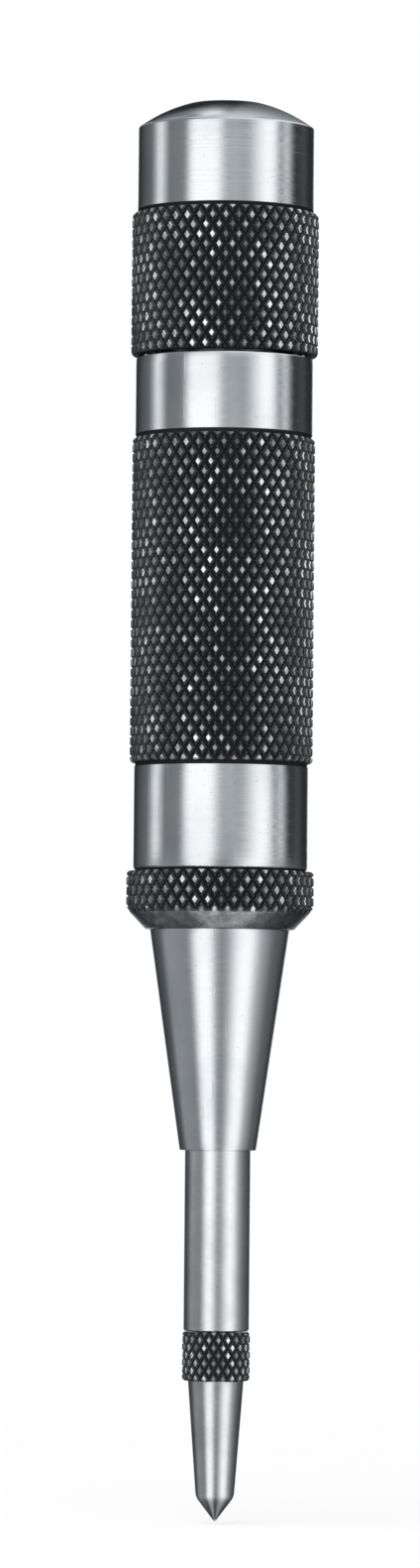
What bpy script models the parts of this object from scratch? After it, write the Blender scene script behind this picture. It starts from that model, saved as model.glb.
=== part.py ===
"""Automatic center punch: a hand punch that strikes by itself when it is pressed onto the work.

Metres, +Z up. The origin is the sharp tip, the tool's axis is +Z and the cap is at the top.
Pressing the punch drives the plunger up. Its stem lifts the hammer by the release latch, a cross plug
that a tapered bore in the barrel pushes inwards until its hole lines up with the stem. The hammer then
drops over the stem and strikes the plunger. Turning the cap sets the hammer spring's load.
"""

import math

import bmesh
import bpy
from mathutils import Matrix, Vector

MM = 0.001

# Clearances
SEAT_GAP = 0.3 * MM
SLIDE_GAP = 0.15 * MM
EDGE_BREAK = 0.3 * MM

# Punch point, measured up from the tip
TIP_ANGLE = math.radians(75)
POINT_END_RADIUS = 1.75 * MM
POINT_ROOT_RADIUS = 2.55 * MM
POINT_LENGTH = 12.9 * MM
COLLAR_RADIUS = 3.1 * MM
COLLAR_LENGTH = 4.2 * MM
STUD_RADIUS = 1.6 * MM
STUD_LENGTH = 6.0 * MM

# Plunger
SHANK_RADIUS = 3.0 * MM
SHANK_SHOWING = 16.8 * MM
FLANGE_RADIUS = 4.3 * MM
FLANGE_THICKNESS = 2.0 * MM
ANVIL_RADIUS = 2.4 * MM
PLUNGER_TRAVEL = 8.0 * MM
STEM_RADIUS = 1.1 * MM
STEM_SOCKET_DEPTH = 6.0 * MM

# Nose piece
NOSE_END_RADIUS = 3.5 * MM
NOSE_WALL = 0.8 * MM
CONE_LENGTH = 20.2 * MM
CONE_TOP_RADIUS = 6.4 * MM
CONE_STEP = 0.4 * MM
RING_LENGTH = 3.5 * MM
RING_RISE = 0.6 * MM

# Barrel, whose plain radius also sets the knurled bands
BARREL_RADIUS = 8.0 * MM
BARREL_WALL = 1.3 * MM
LOWER_BAND_LENGTH = 9.3 * MM
GRIP_LENGTH = 30.5 * MM
GRIP_RISE = 0.4 * MM
NECK_LENGTH = 7.0 * MM
NECK_RISE = 0.15 * MM
THREAD_PITCH = 1.5 * MM
THREAD_DEPTH = 0.7 * MM
THREAD_CREST = 0.3 * MM
THREAD_ROOT = 0.8 * MM
THREAD_RUNOUT = 1.0 * MM

# Adjusting cap
CAP_WALL = 1.45 * MM
CAP_RISE = 0.1 * MM
CAP_KNURL_RISE = 0.6 * MM
CAP_KNURL_LENGTH = 13.4 * MM
CAP_PLAIN_LENGTH = 7.6 * MM
CROWN_HEIGHT = 2.2 * MM
CROWN_FLAT_RADIUS = 3.6 * MM
CROWN_THICKNESS = 6.0 * MM
CAP_ROOM = 2.8 * MM

# Hammer, its release latch and the keeper pin that stops the latch turning
WASHER_THICKNESS = 1.2 * MM
HAMMER_LENGTH = 26.7 * MM
HAMMER_FALL = 5.0 * MM
HAMMER_BACK_WALL = 1.0 * MM
LATCH_HEIGHT = 9.7 * MM
LATCH_RADIUS = 2.5 * MM
LATCH_TRAVEL = 1.5 * MM
LATCH_BACK_ROOM = 0.65 * MM
LATCH_POCKET_DEPTH = 1.2 * MM
STEM_OVERRUN = 2.0 * MM
KEEPER_RADIUS = 0.5 * MM
KEEPER_REACH = 0.65 * MM
KEEPER_SETBACK = 0.4 * MM

# Springs
HAMMER_SPRING_WIRE = 1.2 * MM
HAMMER_SPRING_COILS = 9
PLUNGER_SPRING_WIRE = 0.7 * MM
PLUNGER_SPRING_COILS = 8
PLUNGER_SPRING_LENGTH = 18.0 * MM
LATCH_SPRING_WIRE = 0.3 * MM
LATCH_SPRING_RADIUS = 0.75 * MM
LATCH_SPRING_COILS = 3.5
DEAD_COIL_GAP = 0.45 * MM
PILOT_LENGTH = 3.0 * MM
SEAT_FLANGE_THICKNESS = 1.6 * MM
SEAT_CROWN = 0.6 * MM

# Facets
SEGMENTS = 32
SMALL_SEGMENTS = 20
CROWN_STEPS = 7
POINTS_PER_COIL = 10
SHARP_ANGLE = math.radians(30)
CUT_EXCESS = 1.0 * MM
MERGE = 1e-7

# Radii that follow from the sizes above
GRIP_RADIUS = BARREL_RADIUS + GRIP_RISE
NECK_RADIUS = BARREL_RADIUS + NECK_RISE
RING_RADIUS = BARREL_RADIUS + RING_RISE
CAP_RADIUS = BARREL_RADIUS + CAP_RISE
CAP_KNURL_RADIUS = BARREL_RADIUS + CAP_KNURL_RISE
LOWER_BORE = BARREL_RADIUS - BARREL_WALL
MAIN_BORE = LOWER_BORE - LATCH_TRAVEL
HAMMER_RADIUS = MAIN_BORE - SLIDE_GAP
THREAD_RADIUS = CAP_KNURL_RADIUS - CAP_WALL - SLIDE_GAP
THREAD_CORE = THREAD_RADIUS - THREAD_DEPTH
CAP_BORE = THREAD_CORE + SLIDE_GAP
FLANGE_BORE = FLANGE_RADIUS + SLIDE_GAP
SHANK_BORE = SHANK_RADIUS + SLIDE_GAP
STEM_BORE = STEM_RADIUS + SLIDE_GAP
LATCH_BORE = LATCH_RADIUS + SLIDE_GAP
HAMMER_SPRING_RADIUS = MAIN_BORE - SEAT_GAP - HAMMER_SPRING_WIRE / 2
PLUNGER_SPRING_RADIUS = (ANVIL_RADIUS + FLANGE_BORE) / 2
PILOT_RADIUS = HAMMER_SPRING_RADIUS - HAMMER_SPRING_WIRE / 2 - 2 * SEAT_GAP

# Heights of the pieces that show, up from the tip
COLLAR_TOP = POINT_LENGTH + COLLAR_LENGTH
PLUNGER_BASE = COLLAR_TOP + SEAT_GAP
NOSE_END = COLLAR_TOP + SHANK_SHOWING
CONE_TOP = NOSE_END + CONE_LENGTH
RING_BASE = CONE_TOP + RING_RADIUS - CONE_TOP_RADIUS - CONE_STEP
RING_TOP = RING_BASE + RING_LENGTH
BARREL_BASE = RING_TOP + SEAT_GAP
GRIP_BASE = BARREL_BASE + LOWER_BAND_LENGTH
GRIP_TOP = GRIP_BASE + GRIP_LENGTH
NECK_TOP = GRIP_TOP + NECK_LENGTH
CAP_BASE = NECK_TOP + SEAT_GAP
CAP_KNURL_TOP = CAP_BASE + CAP_KNURL_LENGTH
CROWN_BASE = CAP_KNURL_TOP + CAP_PLAIN_LENGTH
CROWN_TOP = CROWN_BASE + CROWN_HEIGHT

# Heights inside: the nose keeps its wall where the flange's counterbore ends in the cone
CONE_SLOPE = (CONE_TOP_RADIUS - NOSE_END_RADIUS) / CONE_LENGTH
NOSE_SHOULDER = NOSE_END + (FLANGE_BORE + NOSE_WALL - NOSE_END_RADIUS) / CONE_SLOPE
FLANGE_BASE = NOSE_SHOULDER + SEAT_GAP
FLANGE_TOP = FLANGE_BASE + FLANGE_THICKNESS
WASHER_BASE = FLANGE_TOP + PLUNGER_SPRING_LENGTH + 2 * SEAT_GAP
WASHER_TOP = WASHER_BASE + WASHER_THICKNESS
HAMMER_BASE = WASHER_TOP + SEAT_GAP
HAMMER_TOP = HAMMER_BASE + HAMMER_LENGTH
ANVIL_TOP = HAMMER_BASE - HAMMER_FALL
LATCH_LEVEL = HAMMER_BASE + LATCH_HEIGHT
STEM_TOP = LATCH_LEVEL - LATCH_RADIUS - SEAT_GAP
CAP_END = CROWN_TOP - CROWN_THICKNESS
SEAT_BASE = CAP_END - SEAT_GAP - SEAT_CROWN - SEAT_FLANGE_THICKNESS
BARREL_TOP = SEAT_BASE - CAP_ROOM

# The latch's round nose touches the start of the bore's taper
TAPER_ANGLE = math.atan2(LATCH_TRAVEL, PLUNGER_TRAVEL)
TAPER_BASE = LATCH_LEVEL + LATCH_BORE * math.sin(TAPER_ANGLE)
TAPER_TOP = TAPER_BASE + PLUNGER_TRAVEL
LATCH_NOSE = LOWER_BORE - LATCH_BORE * math.cos(TAPER_ANGLE)
LATCH_BORE_END = HAMMER_BACK_WALL - HAMMER_RADIUS
LATCH_BACK = LATCH_BORE_END + LATCH_BACK_ROOM + LATCH_TRAVEL
THREAD_START = NECK_TOP + THREAD_RUNOUT
THREAD_TURNS = int((BARREL_TOP - THREAD_START - THREAD_ROOT / 2) / THREAD_PITCH)

ALONG_X = Matrix.Rotation(math.pi / 2, 4, "Y")
ALONG_Y = Matrix.Rotation(-math.pi / 2, 4, "X")


# Scene and materials
def start_scene():
    """An empty scene with one collection for the parts and one for the cutters."""
    for old in list(bpy.data.objects):
        bpy.data.objects.remove(old, do_unlink=True)
    made = []
    for name in ("center_punch", "cutters"):
        collection = bpy.data.collections.new(name)
        bpy.context.scene.collection.children.link(collection)
        made.append(collection)
    return made


def steel(name, colour, roughness):
    """A bare metal finish."""
    material = bpy.data.materials.new(name)
    material.use_nodes = True
    shader = material.node_tree.nodes["Principled BSDF"]
    shader.inputs["Base Color"].default_value = (*colour, 1.0)
    shader.inputs["Metallic"].default_value = 1.0
    shader.inputs["Roughness"].default_value = roughness
    return material


# Shapes
def put(name, mesh, collection, height=0.0):
    """Links a mesh as an object whose origin is on the tool's axis, at this height."""
    thing = bpy.data.objects.new(name, mesh)
    thing.location.z = height
    collection.objects.link(thing)
    return thing


def bake(thing, fill=False):
    """Replaces an object by the closed, smooth-shaded mesh that its modifiers make."""
    graph = bpy.context.evaluated_depsgraph_get()
    mesh = bpy.data.meshes.new_from_object(thing.evaluated_get(graph))
    shape = bmesh.new()
    shape.from_mesh(mesh)
    bmesh.ops.remove_doubles(shape, verts=shape.verts, dist=MERGE)
    if fill:
        bmesh.ops.holes_fill(shape, edges=[edge for edge in shape.edges if edge.is_boundary])
    bmesh.ops.recalc_face_normals(shape, faces=shape.faces)
    shape.to_mesh(mesh)
    shape.free()
    mesh.shade_smooth()
    mesh.set_sharp_from_angle(angle=SHARP_ANGLE)
    thing.modifiers.clear()
    thing.data = mesh
    return thing


def turned(name, outline, collection, datum=0.0, closed=True, segments=SEGMENTS):
    """Spins an outline of (radius, height) points about the axis. It runs down the outside, then up any bore."""
    mesh = bpy.data.meshes.new(name)
    count = len(outline)
    edges = [(i, (i + 1) % count) for i in range(count if closed else count - 1)]
    mesh.from_pydata([(radius, 0.0, height - datum) for radius, height in outline], edges, [])
    thing = put(name, mesh, collection, datum)
    screw = thing.modifiers.new("turn", "SCREW")
    screw.steps = screw.render_steps = segments
    screw.use_merge_vertices = True
    screw.merge_threshold = MERGE
    return bake(thing)


def rod(name, radius, start, end, collection, turn=None, segments=SMALL_SEGMENTS):
    """A round bar from start to end along Z, or along the axis that turn brings Z to."""
    shape = bmesh.new()
    place = Matrix.Translation((0.0, 0.0, (start + end) / 2))
    bmesh.ops.create_cone(
        shape,
        cap_ends=True,
        segments=segments,
        radius1=radius,
        radius2=radius,
        depth=end - start,
        matrix=(turn @ place) if turn else place,
    )
    mesh = bpy.data.meshes.new(name)
    shape.to_mesh(mesh)
    shape.free()
    return put(name, mesh, collection)


def helix_ridge(name, section, start, turns, collection):
    """Carries a (radius, height) section up a right-handed helix and closes both ends."""
    mesh = bpy.data.meshes.new(name)
    count = len(section)
    mesh.from_pydata(
        [(radius, 0.0, start + height) for radius, height in section],
        [(i, (i + 1) % count) for i in range(count)],
        [],
    )
    thing = put(name, mesh, collection)
    screw = thing.modifiers.new("thread", "SCREW")
    screw.steps = screw.render_steps = SEGMENTS
    screw.iterations = turns
    screw.screw_offset = THREAD_PITCH
    return bake(thing, fill=True)


def combine(thing, other, operation, place=None):
    """Cuts away or joins on another shape, which stays hidden among the cutters."""
    other.location = place or thing.location
    other.hide_render = True
    other.display_type = "WIRE"
    boolean = thing.modifiers.new(other.name, "BOOLEAN")
    boolean.operation = operation
    boolean.object = other
    bpy.context.view_layer.update()
    return bake(thing)


def coil(name, radius, wire, coils, length, collection):
    """An open-ended compression spring standing on its origin, with one close turn at each end.

    It measures and prints the least gap between turns, on points more than half a turn apart.
    """
    close = wire + DEAD_COIL_GAP
    open_pitch = (length - wire - 2 * close) / (coils - 2)
    count = round(coils * POINTS_PER_COIL)
    path = []
    for i in range(count + 1):
        turns = coils * i / count
        opened = min(max(turns - 1.0, 0.0), coils - 2)
        height = wire / 2 + close * (turns - opened) + open_pitch * opened
        angle = 2 * math.pi * turns
        path.append(Vector((radius * math.cos(angle), radius * math.sin(angle), height)))
    apart = POINTS_PER_COIL // 2 + 1
    nearest = min((a - b).length for i, a in enumerate(path) for b in path[i + apart :])
    print(f"{name}: least gap between turns {(nearest - wire) / MM:.2f} mm")
    curve = bpy.data.curves.new(name, "CURVE")
    curve.dimensions = "3D"
    curve.bevel_depth = wire / 2
    curve.bevel_resolution = 1
    curve.use_fill_caps = True
    spline = curve.splines.new("POLY")
    spline.points.add(count)
    for point, place in zip(spline.points, path):
        point.co = (*place, 1.0)
    return put(name, curve, collection)


def crown(radius, flat, base, height):
    """A ball's cap from the flat on top down to the side, as (radius, height) points."""
    centre = base - (radius**2 - flat**2 - height**2) / (2 * height)
    ball = math.hypot(radius, base - centre)
    start = math.atan2(flat, base + height - centre)
    end = math.atan2(radius, base - centre)
    angles = [start + (end - start) * i / CROWN_STEPS for i in range(CROWN_STEPS + 1)]
    return [(ball * math.sin(a), centre + ball * math.cos(a)) for a in angles]


def thread_section(core, crest, clearance):
    """A truncated thread, widened by the clearance, that starts well inside the core."""
    foot = core - THREAD_DEPTH / 2
    slope = (THREAD_ROOT - THREAD_CREST) / 2 / THREAD_DEPTH
    half_crest = THREAD_CREST / 2 + clearance
    half_foot = half_crest + slope * (crest - foot)
    return [(foot, half_foot), (crest, half_crest), (crest, -half_crest), (foot, -half_foot)]


# Pieces that show
def punch_point(parts):
    """The hardened, replaceable point with its knurled collar and the stud that screws into the plunger."""
    outline = [
        (0.0, COLLAR_TOP + STUD_LENGTH),
        (STUD_RADIUS - EDGE_BREAK, COLLAR_TOP + STUD_LENGTH),
        (STUD_RADIUS, COLLAR_TOP + STUD_LENGTH - EDGE_BREAK),
        (STUD_RADIUS, COLLAR_TOP),
        (COLLAR_RADIUS - EDGE_BREAK, COLLAR_TOP),
        (COLLAR_RADIUS, COLLAR_TOP - EDGE_BREAK),
        (COLLAR_RADIUS, POINT_LENGTH + EDGE_BREAK),
        (COLLAR_RADIUS - EDGE_BREAK, POINT_LENGTH),
        (POINT_ROOT_RADIUS, POINT_LENGTH),
        (POINT_END_RADIUS, POINT_END_RADIUS / math.tan(TIP_ANGLE / 2)),
        (0.0, 0.0),
    ]
    return turned("punch_point", outline, parts, closed=False)


def plunger(parts):
    """The sliding shank: a socket for the point below, a flange that the nose keeps in, and the anvil."""
    socket_top = PLUNGER_BASE + STUD_LENGTH
    socket = STUD_RADIUS + SLIDE_GAP
    outline = [
        (STEM_BORE, ANVIL_TOP),
        (ANVIL_RADIUS - EDGE_BREAK, ANVIL_TOP),
        (ANVIL_RADIUS, ANVIL_TOP - EDGE_BREAK),
        (ANVIL_RADIUS, FLANGE_TOP),
        (FLANGE_RADIUS, FLANGE_TOP),
        (FLANGE_RADIUS, FLANGE_BASE),
        (SHANK_RADIUS, FLANGE_BASE),
        (SHANK_RADIUS, PLUNGER_BASE + EDGE_BREAK),
        (SHANK_RADIUS - EDGE_BREAK, PLUNGER_BASE),
        (socket, PLUNGER_BASE),
        (socket, socket_top),
        (0.0, socket_top),
    ]
    stem_socket = [(0.0, ANVIL_TOP - STEM_SOCKET_DEPTH), (STEM_BORE, ANVIL_TOP - STEM_SOCKET_DEPTH)]
    return turned("plunger", stem_socket + outline, parts, PLUNGER_BASE, closed=False)


def nose_piece(parts):
    """The cone that guides the plunger, with its knurled ring and the spigot that screws into the barrel."""
    spigot = LOWER_BORE - SLIDE_GAP
    spigot_top = WASHER_BASE - SEAT_GAP
    outline = [
        (spigot - EDGE_BREAK, spigot_top),
        (spigot, spigot_top - EDGE_BREAK),
        (spigot, RING_TOP),
        (RING_RADIUS - EDGE_BREAK, RING_TOP),
        (RING_RADIUS, RING_TOP - EDGE_BREAK),
        (RING_RADIUS, RING_BASE),
        (CONE_TOP_RADIUS + CONE_STEP, CONE_TOP),
        (CONE_TOP_RADIUS, CONE_TOP),
        (NOSE_END_RADIUS, NOSE_END),
        (SHANK_BORE, NOSE_END),
        (SHANK_BORE, NOSE_SHOULDER),
        (FLANGE_BORE, NOSE_SHOULDER),
        (FLANGE_BORE, spigot_top),
    ]
    return turned("nose_piece", outline, parts, NOSE_END)


def barrel(parts, cutters):
    """The hollow handle: a plain lower band, the knurled grip, a plain neck and the thread for the cap."""
    outline = [
        (THREAD_CORE - EDGE_BREAK, BARREL_TOP),
        (THREAD_CORE, BARREL_TOP - EDGE_BREAK),
        (THREAD_CORE, NECK_TOP),
        (NECK_RADIUS - EDGE_BREAK, NECK_TOP),
        (NECK_RADIUS, NECK_TOP - EDGE_BREAK),
        (NECK_RADIUS, GRIP_TOP),
        (GRIP_RADIUS, GRIP_TOP - GRIP_RISE),
        (GRIP_RADIUS, GRIP_BASE + GRIP_RISE),
        (BARREL_RADIUS, GRIP_BASE),
        (BARREL_RADIUS, BARREL_BASE + EDGE_BREAK),
        (BARREL_RADIUS - EDGE_BREAK, BARREL_BASE),
        (LOWER_BORE, BARREL_BASE),
        (LOWER_BORE, TAPER_BASE),
        (MAIN_BORE, TAPER_TOP),
        (MAIN_BORE, BARREL_TOP),
    ]
    thing = turned("barrel", outline, parts, BARREL_BASE)
    section = thread_section(THREAD_CORE, THREAD_RADIUS, 0.0)
    thread = helix_ridge("barrel_thread", section, THREAD_START - BARREL_BASE, THREAD_TURNS, cutters)
    return combine(thing, thread, "UNION")


def adjusting_cap(parts, cutters):
    """The domed cap that screws onto the barrel's neck and loads the hammer spring."""
    outline = [
        (0.0, CROWN_TOP),
        *crown(CAP_RADIUS, CROWN_FLAT_RADIUS, CROWN_BASE, CROWN_HEIGHT),
        (CAP_RADIUS, CAP_KNURL_TOP),
        (CAP_KNURL_RADIUS, CAP_KNURL_TOP - (CAP_KNURL_RISE - CAP_RISE)),
        (CAP_KNURL_RADIUS, CAP_BASE + EDGE_BREAK),
        (CAP_KNURL_RADIUS - EDGE_BREAK, CAP_BASE),
        (CAP_BORE, CAP_BASE),
        (CAP_BORE, CAP_END),
        (0.0, CAP_END),
    ]
    thing = turned("adjusting_cap", outline, parts, CAP_BASE, closed=False)
    turns_below = math.ceil((THREAD_RUNOUT + THREAD_ROOT) / THREAD_PITCH)
    section = thread_section(CAP_BORE, THREAD_RADIUS + SLIDE_GAP, SLIDE_GAP)
    start = THREAD_START - CAP_BASE - turns_below * THREAD_PITCH
    groove = helix_ridge("cap_thread", section, start, THREAD_TURNS + turns_below + 1, cutters)
    return combine(thing, groove, "DIFFERENCE")


# Pieces inside
def trip_stem(parts):
    """The hardened pin pressed into the anvil, whose end lifts the latch."""
    base = ANVIL_TOP - STEM_SOCKET_DEPTH + SEAT_GAP
    outline = [
        (0.0, STEM_TOP),
        (STEM_RADIUS - EDGE_BREAK, STEM_TOP),
        (STEM_RADIUS, STEM_TOP - EDGE_BREAK),
        (STEM_RADIUS, base),
        (0.0, base),
    ]
    return turned("trip_stem", outline, parts, base, closed=False, segments=SMALL_SEGMENTS)


def stop_washer(parts):
    """The ring on top of the nose that the hammer rests on and the plunger's spring pushes against."""
    outer = LOWER_BORE - SLIDE_GAP
    inner = ANVIL_RADIUS + SEAT_GAP
    outline = [(outer, WASHER_TOP), (outer, WASHER_BASE), (inner, WASHER_BASE), (inner, WASHER_TOP)]
    return turned("stop_washer", outline, parts, WASHER_BASE)


def hammer(parts, cutters):
    """The striking mass, bored for the stem, across for the latch, and from the side for the keeper pin."""
    outline = [
        (0.0, HAMMER_TOP + PILOT_LENGTH),
        (PILOT_RADIUS - EDGE_BREAK, HAMMER_TOP + PILOT_LENGTH),
        (PILOT_RADIUS, HAMMER_TOP + PILOT_LENGTH - EDGE_BREAK),
        (PILOT_RADIUS, HAMMER_TOP),
        (HAMMER_RADIUS - EDGE_BREAK, HAMMER_TOP),
        (HAMMER_RADIUS, HAMMER_TOP - EDGE_BREAK),
        (HAMMER_RADIUS, HAMMER_BASE + EDGE_BREAK),
        (HAMMER_RADIUS - EDGE_BREAK, HAMMER_BASE),
        (0.0, HAMMER_BASE),
    ]
    thing = turned("hammer", outline, parts, HAMMER_BASE, closed=False)
    stem_hole_top = LATCH_HEIGHT + LATCH_RADIUS + STEM_OVERRUN
    stem_hole = rod("stem_hole", STEM_BORE, -CUT_EXCESS, stem_hole_top, cutters)
    combine(thing, stem_hole, "DIFFERENCE")
    cross = rod("latch_bore", LATCH_BORE, LATCH_BORE_END, HAMMER_RADIUS + CUT_EXCESS, cutters, ALONG_X)
    combine(thing, cross, "DIFFERENCE", (0.0, 0.0, LATCH_LEVEL))
    keeper_bore = KEEPER_RADIUS + SLIDE_GAP
    side = rod("keeper_bore", keeper_bore, -HAMMER_RADIUS - CUT_EXCESS, -LATCH_RADIUS, cutters, ALONG_Y)
    return combine(thing, side, "DIFFERENCE", (0.0, 0.0, LATCH_LEVEL))


def release_latch(parts, cutters):
    """The cross plug: round nose outwards, a hole for the stem, a spring pocket behind and the keeper's slot."""
    quarter = [math.pi / 2 * (1 - i / CROWN_STEPS) for i in range(CROWN_STEPS + 1)]
    nose = [(LATCH_RADIUS * math.cos(a), LATCH_NOSE + LATCH_RADIUS * math.sin(a)) for a in quarter]
    pocket = LATCH_SPRING_RADIUS + LATCH_SPRING_WIRE / 2 + SLIDE_GAP
    outline = [
        *nose,
        (LATCH_RADIUS, LATCH_BACK),
        (pocket, LATCH_BACK),
        (pocket, LATCH_BACK + LATCH_POCKET_DEPTH),
        (0.0, LATCH_BACK + LATCH_POCKET_DEPTH),
    ]
    thing = turned("release_latch", outline, parts, closed=False, segments=SMALL_SEGMENTS)
    thing.data.transform(ALONG_X)
    thing.location.z = LATCH_LEVEL
    reach = LATCH_RADIUS + CUT_EXCESS
    stem_hole = rod("latch_stem_hole", STEM_BORE, -reach, reach, cutters)
    combine(thing, stem_hole, "DIFFERENCE", (LATCH_TRAVEL, 0.0, LATCH_LEVEL))
    slot_half = KEEPER_RADIUS + SLIDE_GAP
    shape = bmesh.new()
    bmesh.ops.create_cube(shape, size=1.0)
    slot_size = Matrix.Diagonal((2 * slot_half + LATCH_TRAVEL, 2 * KEEPER_REACH, 2 * slot_half, 1.0))
    slot_place = Matrix.Translation((LATCH_TRAVEL / 2, -LATCH_RADIUS, 0.0))
    bmesh.ops.transform(shape, matrix=slot_place @ slot_size, verts=shape.verts)
    mesh = bpy.data.meshes.new("keeper_slot")
    shape.to_mesh(mesh)
    shape.free()
    return combine(thing, put("keeper_slot", mesh, cutters), "DIFFERENCE")


def keeper_pin(parts):
    """The dowel in the hammer's side that runs in the latch's slot."""
    outer = KEEPER_SETBACK - HAMMER_RADIUS
    inner = KEEPER_REACH - SLIDE_GAP - LATCH_RADIUS
    thing = rod("keeper_pin", KEEPER_RADIUS, outer, inner, parts, ALONG_Y)
    thing.location.z = LATCH_LEVEL
    return bake(thing)


def spring_seat(parts):
    """The follower between the hammer spring and the cap, crowned on top so that the cap turns on it."""
    outer = CAP_BORE - SLIDE_GAP
    flange_top = SEAT_BASE + SEAT_FLANGE_THICKNESS
    outline = [
        (0.0, flange_top + SEAT_CROWN),
        *crown(PILOT_RADIUS, EDGE_BREAK, flange_top, SEAT_CROWN),
        (outer, flange_top),
        (outer, SEAT_BASE),
        (PILOT_RADIUS, SEAT_BASE),
        (PILOT_RADIUS, SEAT_BASE - PILOT_LENGTH + EDGE_BREAK),
        (PILOT_RADIUS - EDGE_BREAK, SEAT_BASE - PILOT_LENGTH),
        (0.0, SEAT_BASE - PILOT_LENGTH),
    ]
    return turned("spring_seat", outline, parts, SEAT_BASE, closed=False)


def springs(parts):
    """The hammer's, the plunger's and the latch's springs, each between its two seats."""
    hammer_seat = HAMMER_TOP + SEAT_GAP
    driving = coil(
        "hammer_spring",
        HAMMER_SPRING_RADIUS,
        HAMMER_SPRING_WIRE,
        HAMMER_SPRING_COILS,
        SEAT_BASE - SEAT_GAP - hammer_seat,
        parts,
    )
    driving.location.z = hammer_seat
    returning = coil(
        "plunger_spring",
        PLUNGER_SPRING_RADIUS,
        PLUNGER_SPRING_WIRE,
        PLUNGER_SPRING_COILS,
        PLUNGER_SPRING_LENGTH,
        parts,
    )
    returning.location.z = FLANGE_TOP + SEAT_GAP
    latch_room = LATCH_BACK + LATCH_POCKET_DEPTH - LATCH_BORE_END
    small = coil(
        "latch_spring",
        LATCH_SPRING_RADIUS,
        LATCH_SPRING_WIRE,
        LATCH_SPRING_COILS,
        latch_room - 2 * SLIDE_GAP,
        parts,
    )
    small.rotation_euler = ALONG_X.to_euler()
    small.location = (LATCH_BORE_END + SLIDE_GAP, 0.0, LATCH_LEVEL)
    return driving, returning, small


# Assembly
def carry(parent, *children):
    """Parents pieces to the one that they move with, leaving them where they are."""
    bpy.context.view_layer.update()
    for child in children:
        child.parent = parent
        child.matrix_parent_inverse = parent.matrix_world.inverted()


def finish(material, *things):
    for thing in things:
        thing.data.materials.clear()
        thing.data.materials.append(material)


def main():
    parts, cutters = start_scene()
    point = punch_point(parts)
    shank = plunger(parts)
    nose = nose_piece(parts)
    body = barrel(parts, cutters)
    cap = adjusting_cap(parts, cutters)
    stem = trip_stem(parts)
    washer = stop_washer(parts)
    striker = hammer(parts, cutters)
    latch = release_latch(parts, cutters)
    pin = keeper_pin(parts)
    seat = spring_seat(parts)
    driving, returning, small = springs(parts)
    axis = bpy.data.objects.new("punch_axis", None)
    parts.objects.link(axis)
    carry(axis, body, seat)
    carry(body, nose, washer, shank, striker, returning, driving)
    carry(shank, point, stem)
    carry(striker, latch, pin, small)
    carry(seat, cap)
    finish(steel("polished_steel", (0.72, 0.73, 0.74), 0.18), nose, shank)
    finish(steel("knurled_steel", (0.42, 0.43, 0.45), 0.35), body, cap)
    finish(steel("hardened_steel", (0.62, 0.63, 0.65), 0.22), point, striker, latch, stem, pin)
    finish(steel("spring_steel", (0.30, 0.31, 0.33), 0.30), driving, returning, small)
    finish(steel("plain_steel", (0.55, 0.56, 0.57), 0.40), washer, seat)


main()
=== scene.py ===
# %% [markdown]
# # An automatic center punch
# The tool is turned from bar: a domed cap, a knurled barrel, a cone nose, a sliding plunger and a hard
# point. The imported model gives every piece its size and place, and this lesson gives each its real surface.
# All the pieces are round, so nearly everything below is a profile carried round one axis, with relief cut
# into it.

# %% Load the frame
import math

import bpy
import numpy as np
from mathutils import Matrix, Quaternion, Vector


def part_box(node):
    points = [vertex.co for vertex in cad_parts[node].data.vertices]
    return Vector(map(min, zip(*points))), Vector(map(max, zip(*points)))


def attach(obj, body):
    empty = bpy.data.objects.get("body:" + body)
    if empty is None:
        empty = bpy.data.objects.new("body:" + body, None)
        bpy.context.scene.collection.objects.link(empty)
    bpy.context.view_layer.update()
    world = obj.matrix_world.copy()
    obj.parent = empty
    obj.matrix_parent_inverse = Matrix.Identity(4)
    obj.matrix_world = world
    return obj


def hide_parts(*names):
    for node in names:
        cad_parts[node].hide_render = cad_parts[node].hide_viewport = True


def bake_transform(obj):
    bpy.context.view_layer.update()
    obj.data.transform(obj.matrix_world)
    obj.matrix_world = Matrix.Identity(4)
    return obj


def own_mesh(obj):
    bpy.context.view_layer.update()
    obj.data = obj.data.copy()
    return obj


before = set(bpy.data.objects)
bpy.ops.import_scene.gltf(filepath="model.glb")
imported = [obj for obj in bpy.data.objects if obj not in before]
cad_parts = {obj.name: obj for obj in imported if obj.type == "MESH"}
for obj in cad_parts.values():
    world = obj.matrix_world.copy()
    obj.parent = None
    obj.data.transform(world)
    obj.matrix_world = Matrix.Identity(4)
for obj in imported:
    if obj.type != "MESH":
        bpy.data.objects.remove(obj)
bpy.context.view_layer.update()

MM = 0.001
print("nodes:", ", ".join(sorted(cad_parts)))


# %% [markdown]
# ## Finishes as formulas
# Polished steel isn't one grey: it has rings from the lathe, smudges, scratches and oil in its grooves. Each
# could be laid out by hand in the node editor, but a formula is shorter, and several finishes can share it.
# The small class below wraps a socket, so that a formula is written with plus, times and minus, and every
# operation adds the node that works it out.

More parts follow.
